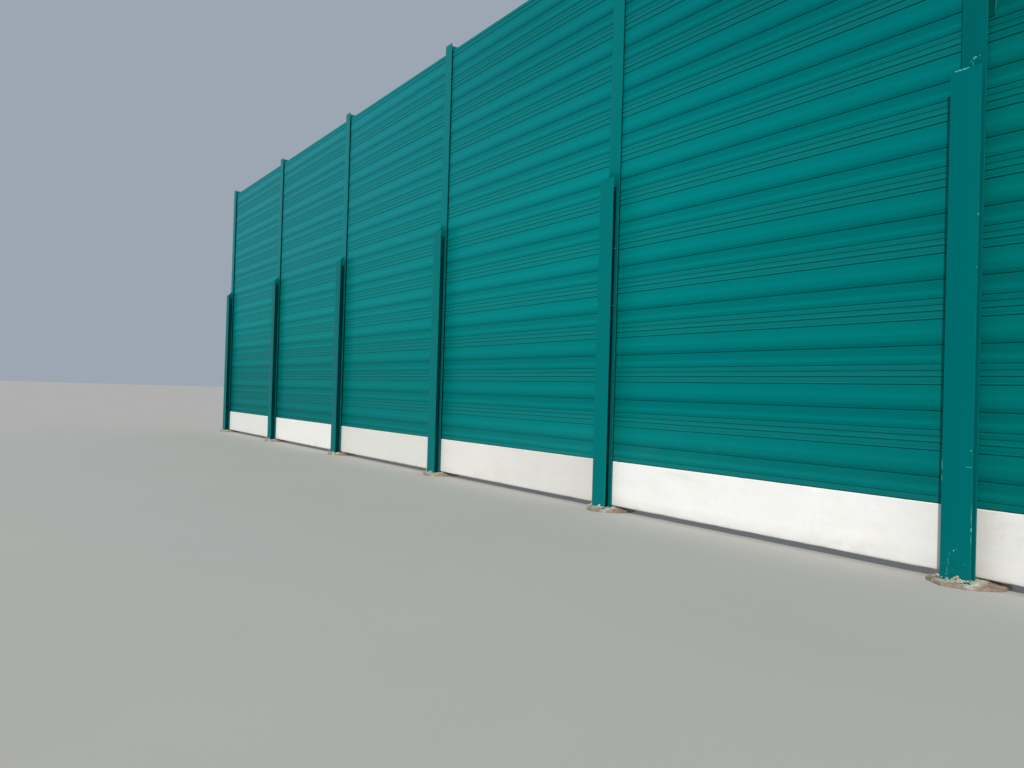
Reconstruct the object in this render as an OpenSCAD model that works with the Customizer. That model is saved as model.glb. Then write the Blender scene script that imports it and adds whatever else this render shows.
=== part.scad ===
// Section of a noise barrier: ribbed steel cassettes stacked between rolled H posts on a
// concrete plinth, with a T section welded to the lower half of each post.
// X runs along the barrier, the ribbed front with the T sections faces -Y, Z is up.
// The origin is the foot of the middle post.

/* [Barrier] */
// Number of bays, even so that a post stands at the origin
bays = 6; // [2:2:6]
// Distance between post centres
bay_pitch = 4000; // [3000:100:5000]
// Cassettes stacked in each bay
rows = 12; // [8:1:12]

/* [Posts] */
// Width of the post's flanges
post_width = 180; // [180:10:240]
// Depth of the post from flange face to flange face
post_depth = 180; // [160:10:240]
// Thickness of the post's flanges
post_flange = 14; // [9:1:16]
// Thickness of the post's web
post_web = 8.5; // [6:0.5:10]
// Radius between the web and the flanges
post_root = 15; // [8:1:18]
// Length of post that stands above the top cassette
post_overrun = 100; // [40:10:200]

/* [Stiffeners] */
// Width of the T section's flange
tee_width = 220; // [180:10:240]
// Depth of the T section in front of the post
tee_depth = 105; // [90:5:140]
// Thickness of the T section's flange
tee_flange = 11; // [8:1:16]
// Thickness of the T section's web
tee_web = 7; // [6:0.5:10]
// Radius between the T section's web and flange
tee_root = 18; // [8:1:20]
// Height of the T section's flange above the ground
tee_height = 3760; // [2500:20:4500]
// Angle of the slanted cut at the top of the web, from level
tee_cut = 48; // [30:1:60]

/* [Cassettes] */
// Height from one joint to the next
cassette_height = 500; // [500:1:520]
// Thickness over the outermost ribs
cassette_depth = 100; // [96:2:120]
// Play between the cassette's end and the post's web
end_play = 16; // [8:1:25]
// Heights of the four grooves above the lower joint
groove_heights = [52, 196, 396, 456]; // [40:1:470]
// Width of a groove at its mouth
groove_mouth = 11; // [8:1:14]
// Width of a groove at its floor
groove_floor = 6; // [4:1:7]
// Depths of the four grooves
groove_depths = [7.5, 10, 10, 7]; // [5:0.5:14]
// Height of the bend in the lower wide band
lower_crease = 98; // [80:1:120]
// Height of the bend in the upper wide band
upper_crease = 296; // [260:1:320]
// Height over which the face steps back above a bend
crease_facet = 18; // [8:1:24]
// Gap that shows between the faces of two cassettes
joint_gap = 3; // [1:0.5:6]
// Chamfer of the face's edges at the joints
joint_chamfer = 1.5; // [0.5:0.5:3]
// Width of the tongue on the top edge
tongue_width = 44; // [30:2:60]
// Height of the tongue
tongue_height = 12; // [8:1:16]

/* [Plinth and foundation] */
// Height of the concrete plinth
plinth_height = 500; // [300:50:600]
// Thickness of the concrete plinth
plinth_depth = 110; // [100:2:120]
// Chamfer along the plinth's long edges
plinth_chamfer = 8; // [4:1:15]
// Height of a pile head above the ground
head_height = 60; // [40:5:100]
// Radius of a pile head
head_radius = 285; // [260:5:350]

/* [Seals] */
// Width of a rubber strip
seal_width = 28; // [20:1:32]
// Distance from the flange's edge to the strip
seal_inset = 38; // [2:1:38]

/* [Hidden] */
posts = bays + 1;
cassette_length = bay_pitch - post_web - 2 * end_play;
stack_base = head_height + plinth_height;
stack_top = stack_base + rows * cassette_height;
post_length = stack_top + post_overrun;
post_clear = post_depth / 2 - post_flange;

// Clearance between a tongue and the groove that takes it
tongue_play = 1.5;

// Set-back of the narrow ribs from the outermost line of the face
rib_set_back = 0.5;
// Set-back of a cassette's lower edge, which is rolled in
edge_set_back = 3;
// The faces meet a little above the seat: height of the lower one's edge, and of the upper one's
joint_rise = 4;
joint_low = joint_rise + joint_gap;
// Width of the edge in front of the seat
joint_lip = 20;

// Bands of the face between the grooves:
// [lower height, depth there, upper height, depth there, outward bulge between them]
lip = groove_mouth / 2;
lower_facet = lower_crease + crease_facet;
upper_facet = upper_crease + crease_facet;
face_bands = [
    [joint_low + joint_chamfer, edge_set_back, groove_heights[0] - lip, rib_set_back, 1],
    [groove_heights[0] + lip, 1.5, lower_crease, 2, 1.5],
    [lower_crease, 2, lower_facet, 6.5, 0],
    [lower_facet, 6.5, groove_heights[1] - lip, rib_set_back, -1.7],
    [groove_heights[1] + lip, 4.8, upper_crease, 0.6, 2.2],
    [upper_crease, 0.6, upper_facet, 4.4, 0],
    [upper_facet, 4.4, groove_heights[2] - lip, 3, -0.8],
    [groove_heights[2] + lip, rib_set_back, groove_heights[3] - lip, rib_set_back, 0],
    [groove_heights[3] + lip, rib_set_back,
        cassette_height + joint_rise - joint_chamfer, rib_set_back, 0]
];
// Straight steps along a bulged band
bulge_steps = 4;

// Corners round a pile head, and how uneven its rim is
head_corners = 22;
head_unevenness = 0.05;
// Height and size of the upper tier of a pile head
head_step = 22;
head_taper = 0.93;

paint = [0.0, 0.44, 0.43];
concrete_white = [0.93, 0.92, 0.90];
concrete_grey = [0.62, 0.59, 0.54];
rubber_black = [0.07, 0.07, 0.07];

// Places along the barrier
function post_x(i) = (i - 1 - bays / 2) * bay_pitch;
function bay_x(i) = (i - 0.5 - bays / 2) * bay_pitch;

function between(a, b, s) = a + (b - a) * s;

// Points [depth, height] along one band of the face
function band_points(band) =
    let (steps = band[4] == 0 ? 1 : bulge_steps)
    [for (k = [0:steps])
        let (s = k / steps)
        [between(band[1], band[3], s) - 4 * band[4] * s * (1 - s), between(band[0], band[2], s)]];

// The two floor corners of the groove above a band, or nothing where the next band follows on
function groove_points(k) =
    let (middle = (face_bands[k][2] + face_bands[k + 1][0]) / 2)
    [for (g = [0:3]) if (abs(groove_heights[g] - middle) < 1) each [
        [groove_depths[g], middle - groove_floor / 2],
        [groove_depths[g], middle + groove_floor / 2]
    ]];

// The whole face from the lower joint to the upper one
face_points = [
    [edge_set_back + joint_chamfer, joint_low],
    for (k = [0:len(face_bands) - 1]) each concat(
        band_points(face_bands[k]),
        k < len(face_bands) - 1 ? groove_points(k) : []
    ),
    [rib_set_back + joint_chamfer, cassette_height + joint_rise]
];

// Hollow beside a web that a flange closes on each side, with rounded inner corners.
// The web's face is on x = 0, the hollow is half_height either way along y.
module hollow(reach, half_height, radius) {
    translate([radius, -half_height]) square([reach - radius, 2 * half_height]);
    translate([0, -half_height + radius]) square([radius + 1, 2 * (half_height - radius)]);
    for (side = [-1, 1])
        translate([radius, side * (half_height - radius)]) circle(r = radius, $fn = 48);
}

module h_section() {
    difference() {
        square([post_width, post_depth], center = true);
        for (side = [0, 1]) mirror([side, 0])
            translate([post_web / 2, 0]) hollow(post_width, post_clear, post_root);
    }
}

// T section with its web's edge against the post's front flange
module tee_section() {
    post_face = -post_depth / 2;
    flange_back = post_face - tee_depth + tee_flange;
    difference() {
        translate([-tee_width / 2, post_face - tee_depth]) square([tee_width, tee_depth]);
        for (side = [0, 1]) mirror([side, 0]) translate([tee_web / 2, post_face])
            hollow(tee_width, post_face - flange_back, tee_root);
    }
}

module post(i) {
    color(paint) translate([post_x(i), 0, 0]) linear_extrude(post_length) h_section();
}

// The flange ends square, and its web runs on up a slant to the post
module stiffener(i) {
    slant_foot = -post_depth / 2 - tee_depth + tee_flange;
    slant_run = tee_depth - tee_flange;
    color(paint) translate([post_x(i), 0, 0]) {
        linear_extrude(tee_height) tee_section();
        rotate([90, 0, 90]) linear_extrude(tee_web, center = true) polygon([
            [slant_foot, tee_height],
            [slant_foot + slant_run, tee_height],
            [slant_foot + slant_run, tee_height + slant_run * tan(tee_cut)]
        ]);
    }
}

// Uneven outline of a pile head, different for each post
function head_reach(i, k) =
    1 + head_unevenness * (sin(97 * k + 53 * i) + 0.8 * sin(211 * k + 31 * i));
module head_outline(i, size) {
    polygon([for (k = [0:head_corners - 1])
        let (angle = k * 360 / head_corners, reach = size * head_reach(i, k))
        [reach * cos(angle), reach * sin(angle)]]);
}

// Concrete cast round the steel
module pile_head(i) {
    color(concrete_grey) translate([post_x(i), 0, 0]) difference() {
        union() {
            linear_extrude(head_height - head_step) head_outline(i, head_radius);
            linear_extrude(head_height) head_outline(i, head_radius * head_taper);
        }
        translate([0, 0, -1]) linear_extrude(head_height + 2) {
            h_section();
            tee_section();
        }
    }
}

module plinth(i) {
    half = plinth_depth / 2;
    edge = plinth_chamfer;
    color(concrete_white) translate([bay_x(i), 0, head_height])
        rotate([90, 0, 90]) linear_extrude(cassette_length, center = true) polygon([
            [-half + edge, 0], [half - edge, 0], [half, edge],
            [half, plinth_height - edge], [half - edge, plinth_height],
            [-half + edge, plinth_height], [-half, plinth_height - edge], [-half, edge]
        ]);
}

// Half of the top edge from the face inward: a lip, the seat and the tongue
function top_points() =
    let (top = cassette_height, edge = cassette_depth / 2 - joint_lip, tongue = tongue_width / 2)
    [[edge, top + joint_rise], [edge, top], [tongue, top], [tongue - 4, top + tongue_height]];

// Half of the bottom edge from the middle outward: the tongue's groove, the seat and the lip
function bottom_points() =
    let (edge = cassette_depth / 2 - joint_lip - tongue_play, slot = tongue_width / 2 + tongue_play)
    [[slot - 4, tongue_height + tongue_play], [slot, 0], [edge, 0], [edge, joint_low]];

// Cross section of a cassette: the ribbed face, the top edge and the bottom edge, both ways round
module cassette_section() {
    face = [for (p = face_points) [cassette_depth / 2 - p[0], p[1]]];
    rear = concat(bottom_points(), face, top_points());
    front = [for (k = [len(rear) - 1:-1:0]) [-rear[k][0], rear[k][1]]];
    polygon(concat(rear, front));
}

module cassette_row(row) {
    color(paint) for (i = [1:bays])
        translate([bay_x(i), 0, stack_base + (row - 1) * cassette_height])
            rotate([90, 0, 90]) linear_extrude(cassette_length, center = true) cassette_section();
}

// Rubber strips at both ends of every bay, between one flange and the cassettes
module seals(side) {
    depth = post_clear - cassette_depth / 2;
    color(rubber_black) for (i = [1:bays], end = [-1, 1])
        translate([
            bay_x(i) + end * (bay_pitch / 2 - post_width / 2 + seal_inset + seal_width / 2),
            side * (cassette_depth / 2 + depth / 2),
            stack_base + (stack_top - stack_base) / 2
        ]) cube([seal_width, depth, stack_top - stack_base], center = true);
}

for (i = [1:posts]) {
    post(i);
    stiffener(i);
    pile_head(i);
}
for (i = [1:bays]) plinth(i);
for (i = [1:rows]) cassette_row(i);
seals(-1);  // front_seals
seals(1);  // rear_seals
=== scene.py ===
import math

import bmesh
import bpy
import numpy as np
from mathutils import Matrix, Vector, noise


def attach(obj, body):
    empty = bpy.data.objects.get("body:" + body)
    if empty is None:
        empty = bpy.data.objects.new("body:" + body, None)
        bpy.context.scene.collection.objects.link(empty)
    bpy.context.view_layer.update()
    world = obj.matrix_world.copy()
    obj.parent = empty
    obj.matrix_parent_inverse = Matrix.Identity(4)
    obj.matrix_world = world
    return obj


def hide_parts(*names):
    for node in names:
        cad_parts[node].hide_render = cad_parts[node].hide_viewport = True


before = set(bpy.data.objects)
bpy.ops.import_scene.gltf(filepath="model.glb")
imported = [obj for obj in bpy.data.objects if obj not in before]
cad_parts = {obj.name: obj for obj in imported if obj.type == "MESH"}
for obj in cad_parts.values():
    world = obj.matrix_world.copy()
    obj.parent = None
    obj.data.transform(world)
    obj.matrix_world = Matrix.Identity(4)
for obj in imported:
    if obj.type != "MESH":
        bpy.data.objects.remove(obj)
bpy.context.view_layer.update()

# Sizes in metres, as the CAD has them. X runs along the barrier, its front faces -Y.
BAY = 4.0
BAYS = 6
ROWS = 12
POST_HALF = 0.090
POST_FLANGE = 0.014
POST_WEB = 0.0085
POST_ROOT = 0.015
POST_TOP = 6.66
TEE_HALF = 0.110
TEE_FRONT = -0.195
TEE_FLANGE = 0.011
TEE_WEB = 0.007
TEE_ROOT = 0.018
TEE_TOP = 3.76
TEE_CUT = math.tan(math.radians(48))
FACE = 0.050
END_PLAY = 0.016
PLINTH_LOW = 0.06
PLINTH_HIGH = 0.56
PLINTH_HALF = 0.055
PLINTH_CHAMFER = 0.008
ROW = 0.5
LIP = 0.0055
GROOVES = (0.052, 0.196, 0.396, 0.456)
GROOVE_DEPTHS = (0.0075, 0.010, 0.010, 0.007)
JOINT_RISE = 0.004
JOINT_GAP = 0.003
JOINT_LIP = 0.020
SEAL_IN = 0.052
SEAL_OUT = 0.024
LOOSE_REACH = 0.137
LOOSE_FOOT = 4.14
HEAD_RADIUS = 0.285
HEAD_TOP = 0.060
POST_X = [(i - BAYS / 2) * BAY for i in range(BAYS + 1)]
BAY_X = [(i + 0.5 - BAYS / 2) * BAY for i in range(BAYS)]
BAY_HALF = (BAY - POST_WEB) / 2 - END_PLAY
STACK_TOP = PLINTH_HIGH + ROWS * ROW
# The web of a T section where it meets the post, and the post nearest to the camera
WEB_DEPTH = -POST_HALF - TEE_FRONT - TEE_FLANGE
WEB_TOP = TEE_TOP + WEB_DEPTH * TEE_CUT
NEAR_X = POST_X[5]


# Camera and light

# Yaw from the barrier's own line, pitch and roll, in degrees
CAMERA_ANGLES = (33.8206, 0.5992, 1.6675)
CAMERA_PLACE = (11.1249, -6.1828, 1.3036)
CAMERA_LENS = 28.783
LAMP_FROM = (0.458, -0.667, 0.588)
LAMP_ENERGY = 2.78
LAMP_COLOUR = (1.0, 0.97, 0.92)
SURROUND_COLOUR = (0.74, 0.86, 1.0, 1)
SURROUND_STRENGTH = 0.45


def make_camera():
    """The photograph's place and angle."""
    yaw, pitch, roll = (math.radians(a) for a in CAMERA_ANGLES)
    forward = Vector((-math.cos(yaw) * math.cos(pitch), math.sin(yaw) * math.cos(pitch), math.sin(pitch)))
    right = forward.cross(Vector((0, 0, 1))).normalized()
    up = right.cross(forward)
    right, up = (right * math.cos(roll) + up * math.sin(roll),
                 up * math.cos(roll) - right * math.sin(roll))
    data = bpy.data.cameras.new("camera")
    data.lens = CAMERA_LENS
    data.sensor_width = 36
    data.clip_start = 0.05
    data.clip_end = 500
    camera = bpy.data.objects.new("camera", data)
    turn = Matrix((right, up, -forward)).transposed().to_4x4()
    camera.matrix_world = Matrix.Translation(CAMERA_PLACE) @ turn
    bpy.context.scene.collection.objects.link(camera)
    bpy.context.scene.camera = camera


def make_light():
    """One key lamp where the photograph's shadows put it, and an even pale surround."""
    lamp = bpy.data.lights.new("key", "SUN")
    lamp.energy = LAMP_ENERGY
    lamp.color = LAMP_COLOUR
    lamp.angle = math.radians(1.5)
    key = bpy.data.objects.new("key", lamp)
    key.rotation_euler = Vector(LAMP_FROM).to_track_quat("Z", "Y").to_euler()
    bpy.context.scene.collection.objects.link(key)
    world = bpy.data.worlds.new("surround")
    world.use_nodes = True
    back = world.node_tree.nodes["Background"]
    back.inputs["Color"].default_value = SURROUND_COLOUR
    back.inputs["Strength"].default_value = SURROUND_STRENGTH
    bpy.context.scene.world = world
    bpy.context.scene.view_settings.view_transform = "Standard"


# Materials

# Half the length over which a look changes from one bay to the next, behind a post
HIDDEN = 0.01


class Look:
    """A material, with short calls for the nodes of its pattern."""

    def __init__(self, name, **constants):
        self.material = bpy.data.materials.new(name)
        self.material.use_nodes = True
        self.tree = self.material.node_tree
        self.shader = self.tree.nodes["Principled BSDF"]
        for socket, value in constants.items():
            self.shader.inputs[socket.replace("_", " ")].default_value = value
        self.place = self.node("TexCoord").outputs["Object"]
        self.x, self.y, self.z = self.node("SeparateXYZ", self.place).outputs

    def node(self, kind, *sources, **settings):
        made = self.tree.nodes.new("ShaderNode" + kind)
        for key, value in settings.items():
            setattr(made, key, value)
        for k, source in enumerate(sources):
            self.feed(made.inputs[k], source)
        return made

    def feed(self, socket, source):
        if isinstance(source, bpy.types.NodeSocket):
            self.tree.links.new(source, socket)
        else:
            socket.default_value = source

    def calc(self, operation, *sources):
        return self.node("Math", *sources, operation=operation).outputs[0]

    def less(self, value, taken):
        return self.calc("SUBTRACT", value, taken)

    def times(self, *sources):
        result = sources[0]
        for source in sources[1:]:
            result = self.calc("MULTIPLY", result, source)
        return result

    def plus(self, *sources):
        result = sources[0]
        for source in sources[1:]:
            result = self.calc("ADD", result, source)
        return result

    def step(self, value, start, end, low=0.0, high=1.0):
        """low before start, high after end, and smooth between them."""
        made = self.node("MapRange", value, interpolation_type="SMOOTHSTEP")
        for k, number in enumerate((start, end, low, high)):
            self.feed(made.inputs[k + 1], number)
        return made.outputs[0]

    def past(self, edge):
        """0 before this place along the barrier and 1 beyond it, with the change hidden by a post."""
        return self.step(self.x, edge - HIDDEN, edge + HIDDEN)

    def before(self, edge):
        return self.step(self.x, edge - HIDDEN, edge + HIDDEN, 1.0, 0.0)

    def in_bay(self):
        """The bay's number, and the distance from the post at the bay's far end."""
        bay = self.calc("FLOOR", self.calc("DIVIDE", self.x, BAY))
        return bay, self.less(self.x, self.times(bay, BAY))

    def from_post(self):
        """The distance across from the nearest post's middle."""
        return self.calc("PINGPONG", self.plus(self.x, BAY * BAYS), BAY / 2)

    def noise(self, scale, stretch, detail, seed, rough=0.5):
        moved = self.node("Mapping", self.place, (seed, 1.7 * seed, 0.6 * seed), (0, 0, 0), stretch)
        made = self.node("TexNoise", moved.outputs[0])
        made.inputs["Scale"].default_value = scale
        made.inputs["Detail"].default_value = detail
        made.inputs["Roughness"].default_value = rough
        return made.outputs[0]

    def speck(self, scale, size, seed):
        """1 in small scattered spots, 0 elsewhere."""
        moved = self.node("Mapping", self.place, (seed, seed, seed))
        made = self.node("TexVoronoi", moved.outputs[0])
        made.inputs["Scale"].default_value = scale
        return self.step(made.outputs["Distance"], size * 0.6, size, 1.0, 0.0)

    def cell(self, seed, *sources):
        """A random number for each bay, row or other whole number."""
        vector = self.node("CombineXYZ", *sources)
        vector.inputs[2].default_value = seed
        return self.node("TexWhiteNoise", vector.outputs[0], noise_dimensions="3D").outputs[0]

    def mix(self, share, a, b):
        made = self.node("Mix", data_type="RGBA")
        self.feed(made.inputs[0], share)
        for socket, colour in ((made.inputs[6], a), (made.inputs[7], b)):
            self.feed(socket, colour if isinstance(colour, bpy.types.NodeSocket) else (*colour, 1))
        return made.outputs[2]

    def mix_numbers(self, share, a, b):
        return self.plus(self.times(a, self.less(1.0, share)), self.times(b, share))

    def brighten(self, colour, factor):
        made = self.node("VectorMath", colour, operation="SCALE")
        self.feed(made.inputs["Scale"], factor)
        return made.outputs[0]

    def finish(self, colour, roughness, height, depth):
        """Sets the pattern's ends: its colour, its roughness, and its relief, depth metres deep."""
        self.feed(self.shader.inputs["Base Color"], colour)
        self.feed(self.shader.inputs["Roughness"], roughness)
        bump = self.node("Bump")
        bump.inputs["Strength"].default_value = 1.0
        bump.inputs["Distance"].default_value = depth
        self.feed(bump.inputs["Height"], height)
        self.tree.links.new(bump.outputs[0], self.shader.inputs["Normal"])
        return self.material


# Colours as linear red, green and blue
DUST = (0.36, 0.31, 0.25)
SHEET_TEAL = (0.0, 0.187, 0.184)
SHEET_TEAL_SKYLIT = (0.0, 0.187, 0.199)
SHEET_TEAL_SHEEN = (0.012, 0.187, 0.214)
SHEET_TEAL_RIBS = (0.009, 0.187, 0.184)
SHEET_TEAL_GREEN_TONE_AND_SHADE = (0.0, 0.187, 0.176)
GROOVE_DIRT_AND_SHADE = (0.0, 0.055, 0.058)
LINE_SHADE = (0.0, 0.022, 0.024)
STEEL_TEAL = (0.0, 0.170, 0.172)
STEEL_TEAL_SHEEN = (0.014, 0.170, 0.187)
STEEL_TEAL_RUBBED_AND_LIT = (0.012, 0.28, 0.27)
PLINTH_BEIGE = (0.66, 0.64, 0.57)
PLINTH_PINK = (0.74, 0.62, 0.55)
PLINTH_GREEN = (0.60, 0.66, 0.56)
PLINTH_STAIN = (0.50, 0.51, 0.44)
PLINTH_SPLASH = (0.50, 0.46, 0.39)
PLINTH_FOOT = (0.40, 0.37, 0.31)
PLINTH_RUNS = (0.52, 0.53, 0.47)
PLINTH_PITS = (0.38, 0.35, 0.31)
LIME_DARK = (0.42, 0.39, 0.32)
LIME_PALE = (0.60, 0.59, 0.52)
LIME_GREEN = (0.33, 0.48, 0.34)
LIME_PINK = (0.55, 0.38, 0.34)
EARTH_DARK = (0.235, 0.180, 0.130)
EARTH_PALE = (0.36, 0.29, 0.22)
STONES = (0.46, 0.40, 0.33)
RUBBER = (0.010, 0.013, 0.014)
RUBBER_BLOOM = (0.035, 0.036, 0.034)
LOOSE_TEAL_SHADED = (0.0, 0.060, 0.044)
LOOSE_TEAL_SHADED_LOW = (0.0, 0.082, 0.076)
LOOSE_LIP_HIGHLIGHT = (0.002, 0.105, 0.094)
LOOSE_LIP_HIGHLIGHT_LOW = (0.018, 0.175, 0.180)
PRIMER_DARK = (0.06, 0.40, 0.40)
PRIMER_PALE = (0.20, 0.72, 0.72)
FLOOR_DARK = (0.49, 0.47, 0.44)
FLOOR_PALE = (0.52, 0.50, 0.47)

# How light the paint is at each post, from the far end to the near one, partly painted sheen that lightens
# the high far end
SHEET_LOW_TONES = (0.88, 0.95, 0.98, 1.0, 1.03, 0.90, 0.96)
SHEET_HIGH_TONES = (1.21, 1.18, 1.165, 1.165, 1.145, 0.88, 1.04)
SHEET_FOOT_TONES = (0.92, 0.92, 0.915, 1.01, 1.09, 0.96, 0.98)
# Posts below the T section's top: these tones hold painted shade of the T section
POST_TONES_IN_TEE_SHADE = (0.60, 0.60, 0.63, 0.70, 0.75, 0.72, 0.66)
POST_HIGH_TONES = (1.13, 1.13, 1.16, 1.11, 1.03, 0.72, 0.66)
TEE_TONES = (0.88, 0.88, 0.90, 1.0, 1.01, 0.855, 0.75)
# How much dust the lowest cassettes carry, from the far end to the near one
SPLASH_SHARES = (0.005, 0.005, 0.005, 0.014, 0.022, 0.008, 0.010)


def ramp(look, place, stops):
    """A number that follows straight lines between (place, number) stops."""
    made = look.node("ValToRGB", place)
    made.color_ramp.interpolation = "LINEAR"
    points = made.color_ramp.elements
    for k, (where, number) in enumerate(stops):
        point = points[0] if k == 0 else points[-1] if k == len(stops) - 1 else points.new(where)
        point.position = where
        point.color = (number, number, number, 1)
    return made.outputs[0]


def tone_along(look, tones):
    """A number that changes along the barrier, given at each post from the far end."""
    place = look.calc("DIVIDE", look.plus(look.x, BAY * BAYS / 2), BAY * BAYS)
    return ramp(look, place, [(k / (len(tones) - 1), tone) for k, tone in enumerate(tones)])


# Painted light and shade of a cassette's folds by height, from its lower joint up, highlights on the facets
# that face up and shade under the creases: (height, tone)
SHEET_FOLD_SHADING = ((0.0, 1.01), (0.012, 1.02), (0.030, 0.95), (0.052, 1.01), (0.061, 0.97), (0.069, 0.89),
               (0.077, 0.92), (0.086, 0.98), (0.108, 1.03), (0.132, 0.95), (0.186, 0.95), (0.198, 1.0),
               (0.204, 0.92), (0.212, 0.81), (0.219, 0.82), (0.227, 0.90), (0.235, 0.975), (0.252, 1.01),
               (0.308, 1.08), (0.356, 1.06), (0.387, 1.04), (0.395, 1.22), (0.403, 1.17), (0.411, 0.97),
               (0.419, 0.91), (0.430, 0.975), (0.442, 0.95), (0.451, 0.87), (0.459, 1.03), (0.467, 1.13),
               (0.487, 0.955), (0.5, 0.88))


def sheet_tone(k, tone, near_bay, beside):
    """The sheet's lightness over the barrier, with painted sheen high up at the far end: duller high up in
    the near bays, and painted shade beside the T sections.
    """
    raised = k.step(k.z, 1.4, 3.0)
    low, high = tone_along(k, SHEET_LOW_TONES), tone_along(k, SHEET_HIGH_TONES)
    tone = k.times(tone, k.mix_numbers(raised, low, high))
    shaded = k.calc("MINIMUM", k.times(k.step(k.z, 3.6, 6.4), k.step(k.x, -4.0, 9.0), 0.36), 0.17)
    shaded = k.times(shaded, k.step(k.x, 8.4, 10.4, 1.0, 0.3))
    dull = k.times(near_bay, k.step(k.z, 3.6, 4.3, 0.06, 0.255), k.step(k.z, 4.3, 5.1, 1.0, 0.2))
    dull = k.times(dull, k.step(k.x, 8.4, 9.6, 1.0, 0.0))
    # The third share is painted shade beside the T sections
    for share in (shaded, dull, k.times(beside, k.step(k.x, 5.0, -8.0, 0.10, 0.23))):
        tone = k.times(tone, k.less(1.0, share))
    lowest = k.step(k.z, 0.80, 1.25, 1.0, 0.0)
    return k.times(tone, k.mix_numbers(lowest, 1.0, tone_along(k, SHEET_FOOT_TONES)))


def cassette_look():
    """Coil-coated sheet, each cassette a tone of its own, with soft dirt and painted shade in its grooves,
    and painted light and shade along its folds.
    """
    k = Look("cassette_paint_look", Specular_IOR_Level=0.035, Specular_Tint=(0.05, 0.9, 0.95, 1))
    rise = k.calc("DIVIDE", k.less(k.z, PLINTH_HIGH + JOINT_RISE), ROW)
    row = k.calc("FLOOR", rise)
    up_share = k.calc("FRACT", rise)
    up = k.times(up_share, ROW)
    bay, along = k.in_bay()
    near_bay = k.past(NEAR_X)
    # Beside each T section, below its top: painted shade of the T section
    beside = k.times(k.step(along, 0.10, 0.60, 1.0, 0.0), k.less(1.0, near_bay))
    beside = k.times(beside, k.step(k.z, TEE_TOP - 0.1, TEE_TOP + 0.2, 1.0, 0.0))
    own = k.cell(3.0, bay, row)
    clouds = k.noise(1.1, (0.45, 1, 1.6), 3.0, 4.0)
    streaks = k.noise(34, (1, 1, 0.035), 3.0, 9.0)
    grain = k.noise(260, (0.35, 1, 1), 2.0, 2.0)
    tone = k.plus(0.935, k.times(own, 0.035), k.times(clouds, 0.05), k.times(streaks, 0.025),
                  k.times(grain, 0.02))
    tone = sheet_tone(k, tone, near_bay, beside)
    # Painted light and shade of the folds, weaker high up towards the far end
    bands = ramp(k, up_share, [(height / ROW, number) for height, number in SHEET_FOLD_SHADING])
    distant = k.times(k.step(k.z, 2.5, 4.5), k.step(k.x, 3.0, -2.0))
    tone = k.times(tone, k.mix_numbers(k.times(distant, 0.22), bands, 1.0))

    # Dirt and painted shade in the grooves, and painted shade in the two dark lines that show most: the
    # joints and the deep groove
    dirt = k.noise(9, (0.4, 1, 1), 3.0, 6.0)
    depth = k.less(FACE, k.calc("ABSOLUTE", k.y))
    groove_dirt_and_shade = k.times(k.step(depth, 0.0068, 0.0095), k.plus(0.35, k.times(dirt, 0.5)))
    sunk = k.step(depth, 0.0008, 0.004)
    slit = k.step(k.calc("PINGPONG", up, ROW / 2), 0.006, 0.008, 1.0, 0.0)
    slit = k.times(slit, sunk, k.step(k.z, 2.6, 4.4, 0.0, 0.20))
    line = k.step(k.calc("ABSOLUTE", k.less(up, GROOVES[1])), 0.006, 0.008, 1.0, 0.0)
    line = k.times(line, sunk, k.step(k.x, 1.0, 5.0, 0.0, 0.26))

    # Dust on the lowest cassettes, the paler ribs on both sides of a joint, and painted sheen, paler and
    # bluer, high up towards the far end
    splash = k.plus(0.3, k.times(k.step(k.noise(7, (1, 1, 0.5), 4.0, 5.0), 0.35, 0.8), 0.7))
    splash = k.times(k.step(k.z, PLINTH_HIGH, 1.15, 1.0, 0.0), splash)
    ribs = k.plus(k.step(up, 0.040, 0.056, 1.0, 0.0), k.step(up, 0.385, 0.398))
    far_sheen = k.times(k.step(k.z, 1.4, 6.0), k.step(k.x, 7.0, -9.0))

    # Bluer high up: painted sky light
    teal = k.mix(k.step(k.z, 2.0, 6.6), SHEET_TEAL, SHEET_TEAL_SKYLIT)
    teal = k.mix(far_sheen, teal, SHEET_TEAL_SHEEN)
    teal = k.mix(k.times(ribs, 0.35), teal, SHEET_TEAL_RIBS)
    # Greener: the near bay's own tone, and painted shade beside the T sections
    teal = k.mix(k.calc("MAXIMUM", k.times(beside, 0.8), near_bay), teal, SHEET_TEAL_GREEN_TONE_AND_SHADE)
    teal = k.brighten(teal, tone)
    teal = k.mix(k.times(groove_dirt_and_shade, 0.15), teal, GROOVE_DIRT_AND_SHADE)
    teal = k.mix(k.plus(slit, line), teal, LINE_SHADE)
    teal = k.mix(k.times(splash, tone_along(k, SPLASH_SHARES)), teal, DUST)
    rough = k.plus(0.42, k.times(clouds, 0.10), k.times(streaks, 0.05), k.times(splash, 0.1))
    height = k.plus(k.noise(2.2, (0.6, 1, 3.0), 1.0, 8.0), k.times(grain, 0.02))
    return k.finish(teal, rough, height, 0.0012)


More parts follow.
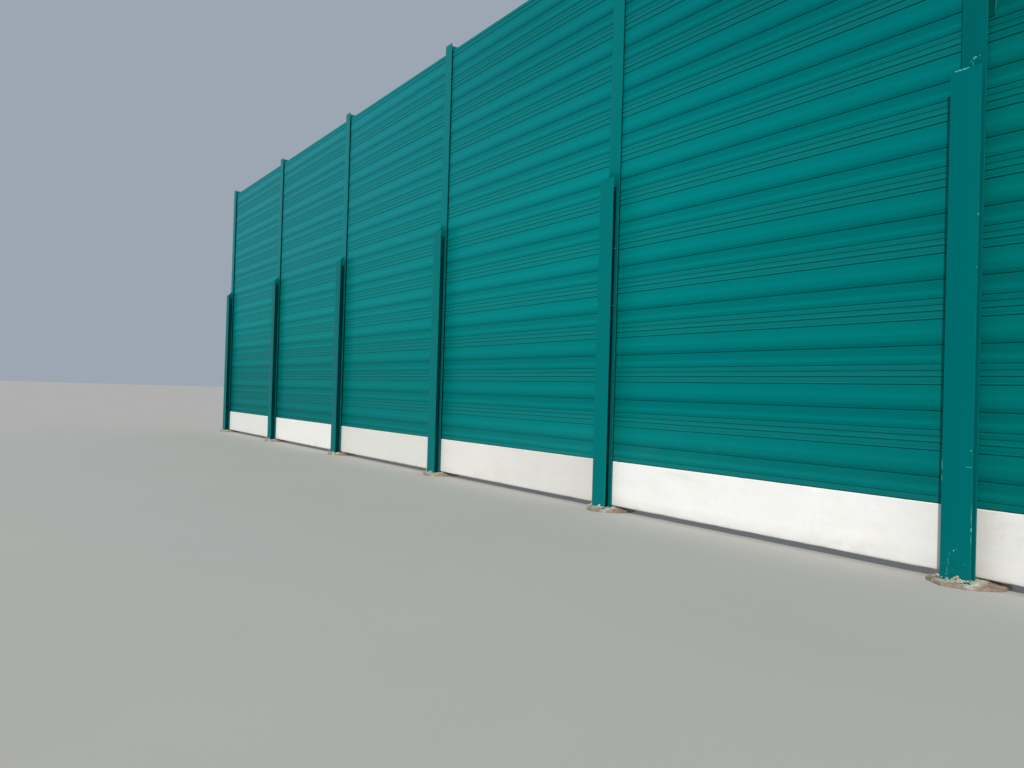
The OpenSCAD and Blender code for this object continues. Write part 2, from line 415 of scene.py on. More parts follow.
def steel_look(name, low_tones, high_tones, half_width):
    """Brushed-on paint over galvanised steel: drips, mottling, and flange edges a little lighter, partly
    rubbed paint and partly a painted highlight.
    """
    k = Look(name, Specular_IOR_Level=0.045, Specular_Tint=(0.05, 0.85, 0.9, 1))
    clouds = k.noise(2.3, (1, 1, 0.5), 3.0, 14.0)
    runs = k.noise(55, (1, 1, 0.06), 2.0, 15.0)
    mottle = k.noise(26, (1, 1, 1), 3.0, 16.0)
    tone = k.plus(0.95, k.times(clouds, 0.05), k.times(runs, 0.03), k.times(mottle, 0.02))
    # The posts' lower tones hold painted shade of the T section
    raised = k.step(k.z, TEE_TOP, TEE_TOP + 0.12)
    low, high = tone_along(k, low_tones), tone_along(k, high_tones)
    tone = k.times(tone, k.mix_numbers(raised, low, high))
    # Flange edges: rubbed paint, and a painted highlight along them
    edge = k.step(k.from_post(), half_width - 0.004, half_width - 0.001)
    rubbed = k.times(edge, k.plus(0.45, k.times(k.noise(8, (1, 1, 0.4), 4.0, 17.0, 0.6), 0.7)))
    foot = k.times(k.step(k.z, 0.05, 0.45, 1.0, 0.0), k.step(mottle, 0.40, 0.66))
    # Painted sheen, paler and bluer, high up towards the far end
    far_sheen = k.times(k.step(k.z, 3.0, 6.0), k.step(k.x, 7.0, -9.0))
    teal = k.mix(far_sheen, STEEL_TEAL, STEEL_TEAL_SHEEN)
    teal = k.brighten(teal, tone)
    teal = k.mix(k.times(rubbed, 0.30), teal, STEEL_TEAL_RUBBED_AND_LIT)
    teal = k.mix(k.times(foot, 0.012), teal, DUST)
    rough = k.plus(0.30, k.times(clouds, 0.14), k.times(foot, 0.15))
    grain = k.noise(210, (1, 1, 0.6), 2.0, 19.0)
    height = k.plus(k.times(grain, 0.25), k.times(runs, 0.4), k.times(mottle, 0.4))
    return k.finish(teal, rough, height, 0.0005)


# Each plinth panel's own batch of white, from the far bay to the near one
PLINTH_WHITES = ((0.775, 0.775, 0.745), (0.87, 0.865, 0.83), (0.755, 0.75, 0.70), (0.785, 0.765, 0.725),
                 (0.955, 0.945, 0.92), (0.85, 0.835, 0.795))
# Stains on the near panels: (place, height, half its length, half its height, strength)
PLINTH_STAINS = ((5.1, 0.49, 0.45, 0.07, 0.20), (7.1, 0.12, 0.50, 0.08, 0.16), (6.3, 0.30, 0.5, 0.12, 0.06),
                 (1.9, 0.22, 0.8, 0.12, 0.10), (3.3, 0.40, 0.4, 0.10, 0.08))


def plinth_look():
    """White masonry paint on precast concrete: faint runs, stains, pits and a dirty foot."""
    k = Look("plinth_concrete_look", Specular_IOR_Level=0.15)
    clouds = k.noise(1.6, (0.6, 1, 1), 4.0, 21.0)
    blotch = k.noise(5.5, (0.7, 1, 1.2), 5.0, 22.0, 0.6)
    runs = k.noise(22, (1, 1, 0.05), 3.0, 23.0)
    trowel = k.noise(12, (0.12, 1, 1.6), 3.0, 24.0)
    grain = k.noise(150, (1, 1, 1), 3.0, 25.0)
    pits = k.speck(38, 0.13, 26.0)
    near_bay = k.past(NEAR_X)
    white = PLINTH_WHITES[0]
    for colour, edge in zip(PLINTH_WHITES[1:], POST_X[1:]):
        white = k.mix(k.past(edge), white, colour)

    # Lightness: the paint's own unevenness, shade beside the posts, and two panels' own changes
    tone = k.plus(0.815, k.times(clouds, 0.12), k.times(runs, 0.05), k.times(trowel, 0.07),
                  k.times(blotch, 0.14))
    along = k.in_bay()[1]
    by_post = k.times(k.step(along, 3.05, 3.75), k.step(k.x, -1.0, 6.0, 0.0, 0.10))
    by_post = k.plus(by_post, k.times(k.step(along, 0.10, 0.34, 0.13, 0.0), near_bay))
    tone = k.times(tone, k.less(1.0, by_post))
    fourth = k.times(k.past(POST_X[3]), k.before(POST_X[4]), k.step(k.x, 1.2, 2.8, 0.045, -0.035))
    tone = k.times(tone, k.plus(1.0, fourth))
    fifth = k.times(k.past(POST_X[4]), k.step(k.x, 5.5, 7.2, 0.085, 0.03))
    tone = k.times(tone, k.less(1.0, k.times(fifth, k.step(k.z, 0.08, 0.19, 1.0, 0.0))))
    white = k.brighten(white, tone)

    # Stains and dirt
    white = k.mix(k.times(near_bay, k.step(blotch, 0.47, 0.60), 0.30), white, PLINTH_BEIGE)
    white = k.mix(k.times(k.step(blotch, 0.50, 0.70), 0.16), white, PLINTH_PINK)
    white = k.mix(k.times(k.step(clouds, 0.50, 0.68), 0.14), white, PLINTH_GREEN)
    for x, z, wide, high, share in PLINTH_STAINS:
        across = k.calc("DIVIDE", k.less(k.x, x), wide)
        up = k.calc("DIVIDE", k.less(k.z, z), high)
        reach = k.calc("SQRT", k.plus(k.times(across, across), k.times(up, up)))
        spread = k.times(k.step(reach, 0.0, 1.0, 1.0, 0.0), k.step(blotch, 0.35, 0.60), share)
        white = k.mix(spread, white, PLINTH_STAIN)
    low = k.times(k.step(k.z, PLINTH_LOW, 0.24, 1.0, 0.0), k.step(blotch, 0.38, 0.62))
    foot = k.times(k.step(k.z, PLINTH_LOW, 0.100, 1.0, 0.0), k.plus(0.15, k.times(blotch, 0.35)))
    high = k.times(k.step(k.z, 0.46, PLINTH_HIGH), k.step(runs, 0.46, 0.66))
    white = k.mix(k.times(low, 0.16), white, PLINTH_SPLASH)
    white = k.mix(foot, white, PLINTH_FOOT)
    white = k.mix(k.times(high, 0.06), white, PLINTH_RUNS)
    white = k.mix(k.times(pits, 0.25), white, PLINTH_PITS)
    rough = k.plus(0.78, k.times(blotch, 0.15))
    height = k.plus(k.times(blotch, 0.5), k.times(grain, 0.15), k.times(pits, -0.8), k.times(trowel, 0.4))
    return k.finish(white, rough, height, 0.0012)


def pile_look():
    """Broken concrete, limy and greenish against the steel, with soil worked in further out."""
    k = Look("pile_concrete_look", Specular_IOR_Level=0.1)
    clouds = k.noise(13, (1, 1, 1), 4.0, 31.0)
    soil = k.noise(22, (1, 1, 1), 5.0, 32.0, 0.65)
    grit = k.noise(140, (1, 1, 1), 3.0, 33.0)
    stones = k.speck(95, 0.30, 34.0)
    tint = k.noise(17, (1, 1, 1), 2.0, 35.0)
    beside = k.less(k.from_post(), TEE_HALF)
    away = k.calc("MAXIMUM", k.calc("MAXIMUM", beside, k.less(TEE_FRONT, k.y)), 0.0)
    limy = k.step(k.plus(away, k.times(soil, 0.12)), 0.075, 0.135, 1.0, 0.0)
    lime = k.mix(k.step(clouds, 0.40, 0.62), LIME_DARK, LIME_PALE)
    lime = k.mix(k.times(k.step(tint, 0.52, 0.62), 0.6), lime, LIME_GREEN)
    lime = k.mix(k.times(k.step(tint, 0.44, 0.36), 0.45), lime, LIME_PINK)
    earth = k.mix(k.step(soil, 0.38, 0.66), EARTH_DARK, EARTH_PALE)
    earth = k.mix(k.times(stones, 0.30), earth, STONES)
    crust = k.mix(limy, earth, lime)
    crust = k.brighten(crust, k.plus(0.85, k.times(grit, 0.30)))
    height = k.plus(k.times(clouds, 0.6), k.times(grit, 0.3), k.times(stones, 0.3))
    return k.finish(crust, k.plus(0.82, k.times(soil, 0.15)), height, 0.003)


def seal_look():
    """Matt rubber with a bloom of dust."""
    k = Look("seal_rubber_look", Specular_IOR_Level=0.3)
    bloom = k.noise(14, (1, 1, 0.3), 4.0, 41.0)
    fine = k.noise(180, (1, 1, 0.5), 2.0, 42.0)
    dark = k.mix(k.times(k.step(bloom, 0.4, 0.75), 0.5), RUBBER, RUBBER_BLOOM)
    return k.finish(dark, k.plus(0.62, k.times(bloom, 0.25)), k.plus(bloom, k.times(fine, 0.3)), 0.0006)


def loose_seal_look():
    """Rubber that was painted over with the post, darkened with painted shade, its lip lighter with a
    painted highlight.
    """
    k = Look("loose_seal_look", Specular_IOR_Level=0.02)
    across = k.less(k.x, NEAR_X)
    lower = k.step(k.z, LOOSE_FOOT, LOOSE_FOOT + 0.30, 1.0, 0.0)
    scuff = k.noise(60, (1, 1, 0.2), 3.0, 45.0)
    # Painted shade over the strip, and a painted highlight along its lip
    lip_highlight = k.step(across, LOOSE_REACH - 0.013, LOOSE_REACH - 0.009)
    teal = k.mix(lower, LOOSE_TEAL_SHADED, LOOSE_TEAL_SHADED_LOW)
    rubbed = k.mix(lower, LOOSE_LIP_HIGHLIGHT, LOOSE_LIP_HIGHLIGHT_LOW)
    teal = k.mix(k.times(lip_highlight, k.plus(0.7, k.times(scuff, 0.5))), teal, rubbed)
    return k.finish(teal, k.plus(0.7, k.times(scuff, 0.2)), scuff, 0.0005)


def bare_look():
    """Primer and zinc where paint has come off, uneven and a little glossy."""
    k = Look("bare_primer_look", Specular_IOR_Level=0.15)
    patch = k.noise(90, (1, 1, 1), 3.0, 51.0)
    pale = k.mix(k.step(patch, 0.35, 0.65), PRIMER_DARK, PRIMER_PALE)
    return k.finish(pale, k.plus(0.35, k.times(patch, 0.3)), patch, 0.0004)


def floor_look():
    """Plain pale floor."""
    k = Look("floor_pale_look", Specular_IOR_Level=0.1)
    soft = k.noise(0.6, (1, 1, 1), 3.0, 61.0)
    pale = k.mix(soft, FLOOR_DARK, FLOOR_PALE)
    return k.finish(pale, k.plus(0.88, k.times(soft, 0.05)), soft, 0.0005)


# Mesh helpers

def rounded(corners, turn_step=24):
    """A closed outline from (a, b, radius) corners, each corner with a radius turned into an arc."""
    outline = []
    count = len(corners)
    for k in range(count):
        here = np.array(corners[k][:2], float)
        back = np.array(corners[k - 1][:2], float) - here
        ahead = np.array(corners[(k + 1) % count][:2], float) - here
        back_length, ahead_length = np.linalg.norm(back), np.linalg.norm(ahead)
        back /= back_length
        ahead /= ahead_length
        half = math.acos(max(-1.0, min(1.0, float(back @ ahead)))) / 2
        turn = math.pi - 2 * half
        if corners[k][2] == 0 or turn < 0.02:
            outline.append(tuple(here))
            continue
        reach = min(corners[k][2] / math.tan(half), 0.48 * back_length, 0.48 * ahead_length)
        radius = reach * math.tan(half)
        middle = back + ahead
        centre = here + middle / np.linalg.norm(middle) * (radius / math.sin(half))
        first, last = here + back * reach - centre, here + ahead * reach - centre
        steps = max(1, math.ceil(math.degrees(turn) / turn_step))
        for s in range(steps + 1):
            t = s / steps
            arm = (first * math.sin((1 - t) * turn) + last * math.sin(t * turn)) / math.sin(turn)
            outline.append(tuple(centre + arm))
    return outline


class Shape:
    """Collects the closed solids of one piece."""

    def __init__(self):
        self.points = []
        self.faces = []

    def add(self, points, faces):
        base = len(self.points)
        self.points.extend(tuple(float(c) for c in p) for p in points)
        self.faces.extend(tuple(base + k for k in f) for f in faces)

    def skin(self, rings, caps=None):
        """A closed skin over rings of equal length, with a flat cap on each end."""
        count = len(rings[0])
        points = [p for ring in rings for p in ring]
        faces = []
        for r in range(len(rings) - 1):
            for k in range(count):
                n = (k + 1) % count
                faces.append((r * count + k, r * count + n, (r + 1) * count + n, (r + 1) * count + k))
        top = (len(rings) - 1) * count
        faces.append(tuple(range(count - 1, -1, -1)))
        for cap in caps or [range(count)]:
            faces.append(tuple(top + k for k in cap))
        self.add(points, faces)

    def along_x(self, outline, low, high):
        self.skin([[(x, a, b) for a, b in outline] for x in (low, high)])

    def piece(self, name, material, slot, *nodes, angle=32):
        mesh = bpy.data.meshes.new(name)
        mesh.from_pydata(self.points, [], self.faces)
        work = bmesh.new()
        work.from_mesh(mesh)
        bmesh.ops.recalc_face_normals(work, faces=work.faces)
        work.to_mesh(mesh)
        work.free()
        mesh.materials.append(material)
        mesh.polygons.foreach_set("use_smooth", [True] * len(mesh.polygons))
        mesh.set_sharp_from_angle(angle=math.radians(angle))
        made = bpy.data.objects.new(name, mesh)
        bpy.context.scene.collection.objects.link(made)
        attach(made, "root")
        if nodes:
            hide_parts(*nodes)


def inset(outline, distance):
    """The outline moved inward by this distance."""
    points = np.array(outline)
    back = points - np.roll(points, 1, axis=0)
    ahead = np.roll(points, -1, axis=0) - points
    area = np.sum(points[:, 0] * np.roll(points[:, 1], -1) - np.roll(points[:, 0], -1) * points[:, 1])
    inward = np.zeros_like(points)
    for edge in (back, ahead):
        edge = edge / np.linalg.norm(edge, axis=1)[:, None]
        inward += np.stack((-edge[:, 1], edge[:, 0]), axis=1) * np.sign(area)
    inward /= np.maximum(np.linalg.norm(inward, axis=1), 1e-9)[:, None]
    return [tuple(p) for p in points + inward * distance]


# Cassettes

def face_corners():
    """The ribbed face from the lower joint to the upper one: (set-back, height, radius of the bend)."""
    g0, g1, g2, g3 = GROOVES
    rib = 0.0005
    edge, edge_chamfer = 0.003, 0.0015
    bend, crease_bend, floor_bend, floor_half = 0.0018, 0.006, 0.0015, 0.003
    low_edge = JOINT_RISE + JOINT_GAP
    lower, lower_facet, upper, upper_facet = 0.098, 0.116, 0.296, 0.314
    # Each band: its lower end, set-back there, upper end, set-back there, and how far it bulges
    bands = (
        (low_edge + edge_chamfer, edge, g0 - LIP, rib, 0.001),
        (g0 + LIP, 0.0015, lower, 0.002, 0.0015),
        (lower, 0.002, lower_facet, 0.0065, 0),
        (lower_facet, 0.0065, g1 - LIP, rib, -0.0017),
        (g1 + LIP, 0.0048, upper, 0.0006, 0.0022),
        (upper, 0.0006, upper_facet, 0.0044, 0),
        (upper_facet, 0.0044, g2 - LIP, 0.003, -0.0008),
        (g2 + LIP, rib, g3 - LIP, rib, 0),
        (g3 + LIP, rib, ROW + JOINT_RISE - edge_chamfer, rib, 0),
    )
    floors = iter(GROOVE_DEPTHS)
    corners = [(edge + edge_chamfer, low_edge, 0.0)]
    for k, (low, low_depth, high, high_depth, bulge) in enumerate(bands):
        follows = k > 0 and low - bands[k - 1][2] < 0.001
        if not follows:
            corners.append((low_depth, low, bend))
        if bulge:
            for s in (0.2, 0.4, 0.6, 0.8):
                at = low_depth + (high_depth - low_depth) * s - 4 * bulge * s * (1 - s)
                corners.append((at, low + (high - low) * s, 0.02))
        crease = k + 1 < len(bands) and bands[k + 1][0] - high < 0.001
        corners.append((high_depth, high, crease_bend if crease else bend))
        if not crease and k + 1 < len(bands):
            middle = (high + bands[k + 1][0]) / 2
            floor = next(floors)
            corners.append((floor, middle - floor_half, floor_bend))
            corners.append((floor, middle + floor_half, floor_bend))
    corners.append((rib + edge_chamfer, ROW + JOINT_RISE, 0.0))
    return corners


def make_cassettes(material):
    """Sheet cassettes with a lip, a seat and a tongue on top, and the same to take them below."""
    tongue, slot, play = 0.022, 0.0235, 0.0004
    seat = FACE - JOINT_LIP
    low_seat = seat - (slot - tongue)
    backing = FACE - 0.0085
    bottom = [(slot - 0.004, 0.0135, 0), (slot, 0, 0), (low_seat, 0, 0), (low_seat, JOINT_RISE + play, 0),
              (backing, JOINT_RISE + play, 0), (backing, JOINT_RISE + JOINT_GAP, 0)]
    top = [(seat, ROW + JOINT_RISE, 0), (seat, ROW, 0), (tongue, ROW, 0), (tongue - 0.004, ROW + 0.012, 0)]
    face = [(FACE - depth, height, bend) for depth, height, bend in face_corners()]
    rear = bottom + face + top
    front = [(-y, height, bend) for y, height, bend in reversed(rear)]
    outline = rounded(rear + front)
    for row in range(ROWS):
        shape = Shape()
        base = PLINTH_HIGH + row * ROW
        raised = [(y, z + base) for y, z in outline]
        for x in BAY_X:
            shape.along_x(raised, x - BAY_HALF, x + BAY_HALF)
        shape.piece(f"sheet_row_{row + 1}", material, "cassette_paint", f"cassette_row_{row + 1}")


# Steel

def make_posts(material):
    """Rolled H sections with root radii, cut square, the cut's edge slightly rubbed."""
    toe, web, rubbed = 0.0015, POST_WEB / 2, 0.0008
    inner = POST_HALF - POST_FLANGE
    quarter = [(web, inner, POST_ROOT), (POST_HALF, inner, toe), (POST_HALF, POST_HALF, toe)]
    right = [(x, -y, r) for x, y, r in reversed(quarter)] + quarter
    left = [(-x, y, r) for x, y, r in reversed(right)]
    outline = rounded(right + left, 15)
    trimmed = inset(outline, rubbed)
    for k, x in enumerate(POST_X):
        shape = Shape()
        levels = ((outline, 0.0), (outline, POST_TOP - rubbed), (trimmed, POST_TOP))
        shape.skin([[(x + a, b, z) for a, b in ring] for ring, z in levels])
        shape.piece(f"steel_post_{k + 1}", material, "post_paint", f"post_{k + 1}")


def make_tees(material):
    """T sections: the flange ends square, and the web runs on up a slant to the post."""
    toe, web = 0.0012, TEE_WEB / 2
    back = TEE_FRONT + TEE_FLANGE
    right = [(TEE_HALF, TEE_FRONT, toe), (TEE_HALF, back, toe), (web, back, TEE_ROOT), (web, -POST_HALF, 0)]
    left = [(-x, y, r) for x, y, r in reversed(right)]
    outline = rounded(right + left, 15)
    count = len(outline)
    stem = [k for k, (a, b) in enumerate(outline) if b >= back - 1e-6 and abs(a) < web + TEE_ROOT + 1e-4]
    flange = [k for k in range(count) if k not in stem[1:-1]]
    top = [(a, b, TEE_TOP + max(0.0, b - back) * TEE_CUT) for a, b in outline]
    for k, x in enumerate(POST_X):
        shape = Shape()
        rings = ([(a, b, 0.0) for a, b in outline], top)
        shape.skin([[(x + a, b, z) for a, b, z in ring] for ring in rings], [flange, stem])
        shape.piece(f"steel_tee_{k + 1}", material, "stiffener_paint", f"stiffener_{k + 1}")


def bead(shape, path, across, out, size, seed):
    """A weld bead along a straight path, with the ripples and small unevenness of a hand weld."""
    step = 0.007
    start, end = Vector(path[0]), Vector(path[1])
    across, out = Vector(across), Vector(out)
    length = (end - start).length
    count = max(4, int(length / step))
    rings = []
    for k in range(count + 1):
        t = k / count
        ripple = 1 + 0.10 * math.sin(k * 2.1) + 0.22 * noise.noise(Vector((seed, t * length * 14, 0)))
        ripple *= min(1.0, 0.35 + min(t, 1 - t) * length / size)
        leg = size * ripple
        at = start.lerp(end, t)
        rings.append([tuple(at - across * 0.001 - out * 0.001),
                      tuple(at + across * leg - out * 0.001),
                      tuple(at + across * leg * 0.66 + out * leg * 0.50),
                      tuple(at + across * leg * 0.30 + out * leg * 0.82),
                      tuple(at - across * 0.001 + out * leg)])
    shape.skin(rings)


def make_welds(material):
    """Fillet welds that hold each T section's web to its post's flange."""
    leg, low, high = 0.0055, 0.045, WEB_TOP - 0.006
    for k, x in enumerate(POST_X):
        shape = Shape()
        for side in (-1, 1):
            path = [(x + side * TEE_WEB / 2, -POST_HALF, z) for z in (low, high)]
            bead(shape, path, (side, 0, 0), (0, -1, 0), leg, 10 * k + side)
        shape.piece(f"tee_weld_{k + 1}", material, "stiffener_paint", angle=60)


# Plinths

def make_plinths(material):
    """Precast panels with slightly uneven faces and arrises that have crumbled in places."""
    edge, half = PLINTH_CHAMFER, PLINTH_HALF
    low, high = PLINTH_LOW, PLINTH_HIGH
    corners = [(-half + edge, low), (half - edge, low), (half, low + edge), (half, high - edge),
               (half - edge, high), (-half + edge, high), (-half, high - edge), (-half, low + edge)]
    outline = []
    for k, (a, b) in enumerate(corners):
        c, d = corners[(k + 1) % len(corners)]
        parts = 10 if abs(d - b) > 0.1 else 4 if abs(c - a) > 0.05 else 2
        outline += [(a + (c - a) * s / parts, b + (d - b) * s / parts) for s in range(parts)]
    inner = inset(outline, 1.0)
    stations, crumbly = 96, 0.022
    for i, x in enumerate(BAY_X):
        rings = []
        for s in range(stations + 1):
            along = x - BAY_HALF + 2 * BAY_HALF * s / stations
            ring = []
            for (a, b), (c, d) in zip(outline, inner):
                near_arris = max(0.0, 1 - min(abs(b - low), abs(b - high)) / crumbly)
                near_arris *= max(0.0, 1 - (half - abs(a)) / crumbly)
                spot = Vector((along * 9, a * 30 + i, b * 14))
                crumbled = max(0.0, noise.noise(spot) - 0.18) * 0.011 * near_arris
                wavy = 0.0005 * (1 + noise.noise(Vector((along * 2.3, i * 3.1 + a * 9, b * 5))))
                move = crumbled + wavy
                ring.append((along, a + (c - a) * move, b + (d - b) * move))
            rings.append(ring)
        shape = Shape()
        shape.skin(rings)
        shape.piece(f"plinth_panel_{i + 1}", material, "plinth_concrete", f"plinth_{i + 1}", angle=40)


# Pile heads

TOP_CRUMBS = 170
FOOT_CRUMBS = 60
# Lumps of mortar against the T section's foot: (place in half widths, height above the head, size)
FOOT_LUMPS = ((-1.06, -0.002, 0.019), (-1.34, -0.016, 0.013), (-0.78, -0.013, 0.008), (-0.45, -0.015, 0.009),
              (-0.16, -0.012, 0.010), (0.00, -0.008, 0.012), (0.10, 0.000, 0.012), (0.20, 0.009, 0.012),
              (0.30, 0.004, 0.013), (0.40, -0.005, 0.011), (0.16, -0.010, 0.015), (0.52, -0.012, 0.010),
              (0.86, -0.007, 0.012), (1.10, -0.014, 0.012))


def lump(shape, centre, size, seed, corners=16):
    """A broken stone or crumb of mortar, with flat broken sides."""
    random = np.random.default_rng(seed + 1000)
    work = bmesh.new()
    for _ in range(corners):
        way = random.normal(size=3)
        way *= random.uniform(0.72, 1.12) / np.linalg.norm(way)
        work.verts.new([centre[a] + size[a] * float(way[a]) for a in range(3)])
    made = bmesh.ops.convex_hull(work, input=work.verts)
    spare = [v for v in made["geom_interior"] if isinstance(v, bmesh.types.BMVert)]
    bmesh.ops.delete(work, geom=spare, context="VERTS")
    work.verts.index_update()
    shape.add([tuple(v.co) for v in work.verts], [tuple(v.index for v in f.verts) for f in work.faces])
    work.free()


def head_surface(k, r, angle):
    """Height of a pile head's rough top at this distance and angle from its middle."""
    px, py = r * math.cos(angle), r * math.sin(angle)
    rough = noise.noise(Vector((px * 14 + 5 * k, py * 14, 0.5)))
    broken = noise.noise(Vector((px * 34 + 5 * k, py * 34, 1.5)))
    fine = noise.noise(Vector((px * 90 + 5 * k, py * 90, 2.5)))
    share = r / HEAD_RADIUS
    slope = 0.030 * max(0.0, share - 0.60) / 0.40
    return HEAD_TOP - 0.014 - slope + 0.010 * rough + 0.007 * broken + 0.003 * fine


def make_heads(material):
    """Concrete cast round the foot of the steel: rough top, broken rim, crumbs lying on it."""
    random = np.random.default_rng(23)
    spokes, tiers = 120, 26
    for k, x in enumerate(POST_X):
        rim = []
        for s in range(spokes):
            a = 2 * math.pi * s / spokes
            wide = noise.noise(Vector((math.cos(a) * 2.2 + 7 * k, math.sin(a) * 2.2, 0)))
            close = noise.noise(Vector((math.cos(a) * 8, math.sin(a) * 8 + 7 * k, 3)))
            rim.append(HEAD_RADIUS * (0.970 + 0.055 * wide + 0.035 * close))
        rings = []
        for t in range(tiers + 3):
            ring = []
            for s in range(spokes):
                a = 2 * math.pi * s / spokes
                if t == 0:
                    r, z = rim[s] * 0.99, 0.0
                elif t == 1:
                    r, z = rim[s], 0.006 + 0.004 * noise.noise(Vector((s * 0.35, k, 9)))
                else:
                    share = 1 - (t - 2) / (tiers + 1)
                    r = max(rim[s] * 0.985 * share, 0.004)
                    z = head_surface(k, r, a)
                ring.append((x + r * math.cos(a), r * math.sin(a), min(z, HEAD_TOP)))
            rings.append(ring)
        shape = Shape()
        shape.skin(rings)
        seeds = 500 * k
        for n in range(TOP_CRUMBS):
            a = random.uniform(0, 2 * math.pi)
            r = HEAD_RADIUS * (0.30 + 0.64 * math.sqrt(random.uniform(0, 1)))
            big = 0.003 + 0.010 * random.uniform(0, 1) ** 3
            z = min(head_surface(k, r, a) + 0.2 * big, HEAD_TOP - 0.7 * big)
            size = (big, big * random.uniform(0.7, 1.1), big * 0.7)
            lump(shape, (x + r * math.cos(a), r * math.sin(a), z), size, n + seeds, 9)
        for n in range(FOOT_CRUMBS):
            across = TEE_HALF * (0.30 * random.normal() - (1.10 if n % 3 == 0 else -0.30))
            across = max(-1.6 * TEE_HALF, min(1.30 * TEE_HALF, across))
            big = 0.003 + 0.011 * random.uniform(0, 1) ** 2.5
            y = TEE_FRONT - big * 0.4 - 0.045 * random.uniform(0, 1) ** 1.3
            z = HEAD_TOP - 0.008 - 0.5 * (TEE_FRONT - y) + big * random.uniform(-0.4, 0.4)
            size = (big * random.uniform(0.8, 1.5), big, big * random.uniform(0.5, 0.9))
            lump(shape, (x + across, y, z), size, n + seeds + 200, 12)
        for n, (across, up, big) in enumerate(FOOT_LUMPS):
            across = TEE_HALF * (across + 0.06 * random.normal())
            size = (big * random.uniform(0.8, 1.25), big * 0.7, big * random.uniform(0.65, 1.0))
            lump(shape, (x + across, TEE_FRONT - 0.4 * big, HEAD_TOP + up), size, n + seeds + 300, 15)
        shape.piece(f"rough_head_{k + 1}", material, "pile_concrete", f"pile_head_{k + 1}", angle=50)


# Seals

# A seal's outline: (share of its width, share of its depth, radius)
SEAL_PROFILE = ((0, 1, 0.004), (0, 0.45, 0.003), (0.08, 0, 0.002), (0.22, 0, 0.002), (0.36, 0.42, 0.003),
                (0.64, 0.42, 0.003), (0.78, 0, 0.002), (0.92, 0, 0.002), (1, 0.45, 0.003), (1, 1, 0.004))


def make_seals(material):
    """Rubber profiles: a soft back against the flange and two lips against the cassettes."""
    for side, name in ((-1, "front"), (1, "rear")):
        shape = Shape()
        for x in BAY_X:
            for end in (-1, 1):
                post = x + end * BAY / 2
                near, far = post - end * SEAL_OUT, post - end * SEAL_IN
                inner, outer = side * FACE, side * (POST_HALF - POST_FLANGE)
                depth, width = outer - inner, far - near
                corners = [(near + a * width, inner + b * depth, r) for a, b, r in SEAL_PROFILE]
                outline = rounded(corners, 30)
                shape.skin([[(a, b, z) for a, b in outline] for z in (PLINTH_HIGH, STACK_TOP)])
        shape.piece(f"{name}_seal_profiles", material, "seal_rubber", f"{name}_seals", angle=50)


def make_loose_seal(material):
    """A length of seal that has slipped out past the near post's flange, its lower end curled back."""
    shape = Shape()
    levels = 80
    rings = []
    for k in range(levels + 1):
        z = LOOSE_FOOT + (STACK_TOP - LOOSE_FOOT) * (k / levels) ** 2.2
        above = z - LOOSE_FOOT
        curl = 0.016 * max(0.0, 1 - above / 0.14) ** 2
        torn = 0.012 * max(0.0, 1 - above / 0.012) ** 2
        out = -FACE - 0.003
        near, far = NEAR_X + 0.070, NEAR_X + LOOSE_REACH - curl - torn + 0.0010 * math.sin(z * 5.0)
        rings.append([(near, out - 0.002, z), (far - 0.012, out - 0.002, z), (far - 0.008, out - 0.0045, z),
                      (far - 0.002, out - 0.0040, z), (far, out, z), (far - 0.002, out + 0.003, z),
                      (far - 0.012, out + 0.002, z), (near, out + 0.002, z)])
    shape.skin(rings)
    shape.piece("loose_seal_near_post", material, "seal_rubber", angle=50)


# Chips and scratches in the paint

def flake(shape, centre, along, across, normal, length, width, seed, count=14):
    """A thin irregular patch lying on a face: primer that shows where the paint has gone."""
    along, across, normal = Vector(along).normalized(), Vector(across).normalized(), Vector(normal)
    rings = []
    for level in (-0.0004, 0.0005):
        ring = []
        for k in range(count):
            a = 2 * math.pi * k / count
            bend = count / 8
            spot = Vector((math.cos(a) * bend + seed * 3.3, math.sin(a) * bend, seed))
            reach = 1 + 0.35 * noise.noise(spot)
            point = Vector(centre) + normal * level
            point += along * (length / 2 * math.cos(a) * reach) + across * (width / 2 * math.sin(a) * reach)
            ring.append(tuple(point))
        rings.append(ring)
    shape.skin(rings)


# Marks on the near T section: (kind of face, place across, height, length, width, lean of the mark)
NEAR_MARKS = (
    ("face", -0.033, 3.7555, 0.112, 0.0074, 0.8),
    ("face", -0.010, 0.254, 0.009, 0.008, 0.0), ("face", 0.085, 0.864, 0.044, 0.0024, 0.0),
    ("face", 0.097, 0.984, 0.010, 0.006, 0.0),
    ("face", 0.009, 0.268, 0.005, 0.004, 30.0), ("face", 0.065, 0.167, 0.007, 0.006, 0.0),
    ("face", -0.040, 0.224, 0.036, 0.0013, 97.0), ("face", -0.047, 0.170, 0.060, 0.0014, 98.0),
    ("face", -0.055, 0.100, 0.050, 0.0018, 96.0), ("face", -0.060, 0.074, 0.008, 0.005, 0.0),
    ("edge", 0, 2.677, 0.018, 0.006, 0.0), ("edge", 0, 2.297, 0.011, 0.005, 0.0),
    ("edge", 0, 0.420, 0.034, 0.007, 0.0), ("edge", 0, 0.515, 0.150, 0.0012, 0.0),
    ("edge", 0, 0.350, 0.070, 0.0010, 0.0),
    ("left", 0, 0.869, 0.105, 0.004, 0.0), ("left", 0, 0.769, 0.050, 0.003, 0.0),
)
# Posts that carry a pair of tack welds beside the T section's web, and the welds' heights
TACKED_POSTS = (4, 6)
TACK_HEIGHTS = (2.975, 2.325)


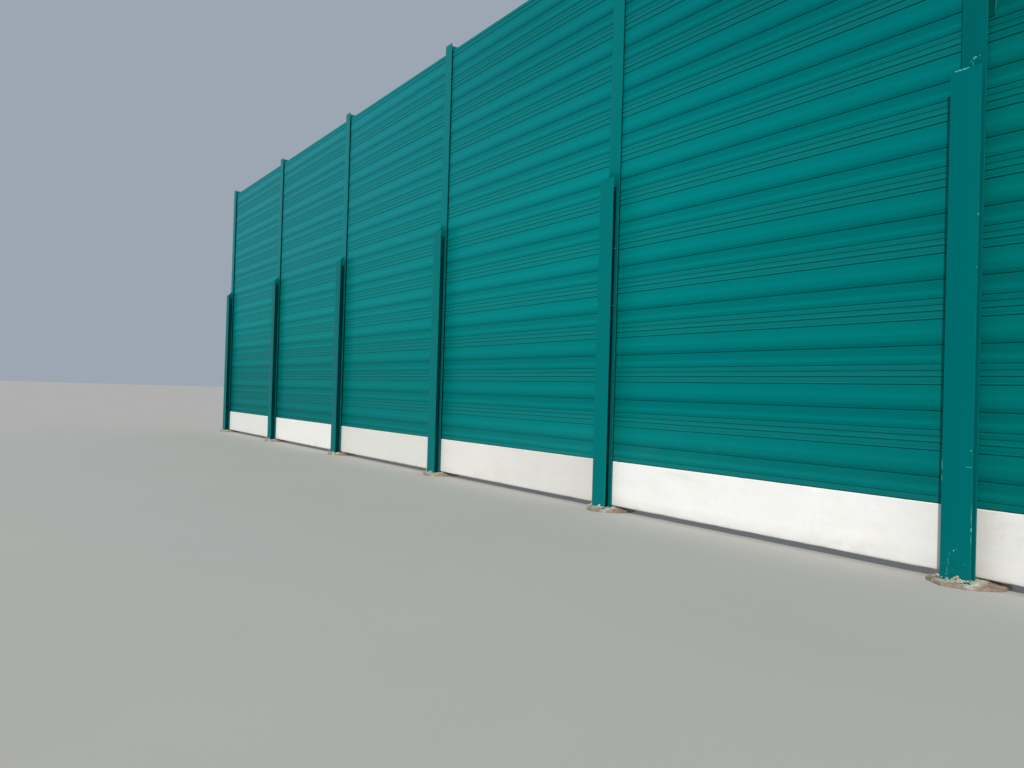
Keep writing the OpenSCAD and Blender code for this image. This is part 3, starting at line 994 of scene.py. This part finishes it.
def make_chips(material):
    """Chips, scratches and crumbs on the near T section, and the spots left by tack welds."""
    shape = Shape()
    x = NEAR_X
    for n, (kind, at, z, length, width, lean) in enumerate(NEAR_MARKS):
        if kind == "face":
            a = math.radians(lean)
            along, across = (math.cos(a), 0, math.sin(a)), (-math.sin(a), 0, math.cos(a))
            count = 30 if length > 0.08 else 14
            flake(shape, (x + at, TEE_FRONT, z), along, across, (0, -1, 0), length, width, n, count)
            continue
        side = 1 if kind == "edge" else -1
        middle = (x + side * TEE_HALF, TEE_FRONT + TEE_FLANGE / 2, z)
        flake(shape, middle, (0, 0, 1), (0, 1, 0), (side, 0, 0), length, width, n)
        front = (x + side * (TEE_HALF - 0.002), TEE_FRONT, z)
        flake(shape, front, (0, 0, 1), (1, 0, 0), (0, -1, 0), length * 0.8, min(0.003, width), n + 40)
    slant = Vector((0, 1, TEE_CUT)).normalized()
    flat = Vector((0, -TEE_CUT, 1)).normalized()
    for n, (share, length, width) in enumerate(((0.60, 0.024, 0.0016), (0.92, 0.030, 0.005))):
        run = share * WEB_DEPTH
        at = (x, TEE_FRONT + TEE_FLANGE + run, TEE_TOP + run * TEE_CUT)
        flake(shape, at, slant, (1, 0, 0), flat, length, width, n + 60)
    lump(shape, (x + 0.013, -POST_HALF - 0.003, WEB_TOP - 0.006), (0.010, 0.004, 0.007), 5)
    lump(shape, (x + 0.006, -POST_HALF - 0.004, WEB_TOP - 0.016), (0.006, 0.004, 0.008), 6)
    lump(shape, (x + 0.042, -POST_HALF - 0.001, WEB_TOP), (0.004, 0.002, 0.004), 7)
    at = (x + TEE_WEB / 2, -POST_HALF - 0.020, WEB_TOP - 0.055)
    flake(shape, at, (0, 0, 1), (0, 1, 0), (1, 0, 0), 0.036, 0.007, 70)
    shape.piece("chips_near_tee", material, "stiffener_paint", angle=40)

    shape = Shape()
    for n, post in enumerate(TACKED_POSTS):
        for m, z in enumerate(TACK_HEIGHTS):
            seed = 2 * n + m + 80
            at = POST_X[post] + 0.040
            flake(shape, (at, -POST_HALF, z), (1, 0, 0), (0, 0, 1), (0, -1, 0), 0.040, 0.008, seed)
            lump(shape, (at - 0.018, -POST_HALF - 0.004, z), (0.007, 0.005, 0.005), seed)
    shape.piece("tack_spots", material, "stiffener_paint", angle=40)


def make_floor(material):
    """The plain floor under the barrier."""
    reach = 400
    corners = [(a * reach, b * reach, 0) for a, b in ((-1, -1), (1, -1), (1, 1), (-1, 1))]
    mesh = bpy.data.meshes.new("floor")
    mesh.from_pydata(corners, [], [(0, 1, 2, 3)])
    mesh.materials.append(material)
    floor = bpy.data.objects.new("floor", mesh)
    bpy.context.scene.collection.objects.link(floor)


make_camera()
make_light()
make_floor(floor_look())
make_cassettes(cassette_look())
make_posts(steel_look("post_paint_look", POST_TONES_IN_TEE_SHADE, POST_HIGH_TONES, POST_HALF))
tee_look = steel_look("stiffener_paint_look", TEE_TONES, TEE_TONES, TEE_HALF)
make_tees(tee_look)
make_welds(tee_look)
make_plinths(plinth_look())
make_heads(pile_look())
make_seals(seal_look())
make_loose_seal(loose_seal_look())
make_chips(bare_look())
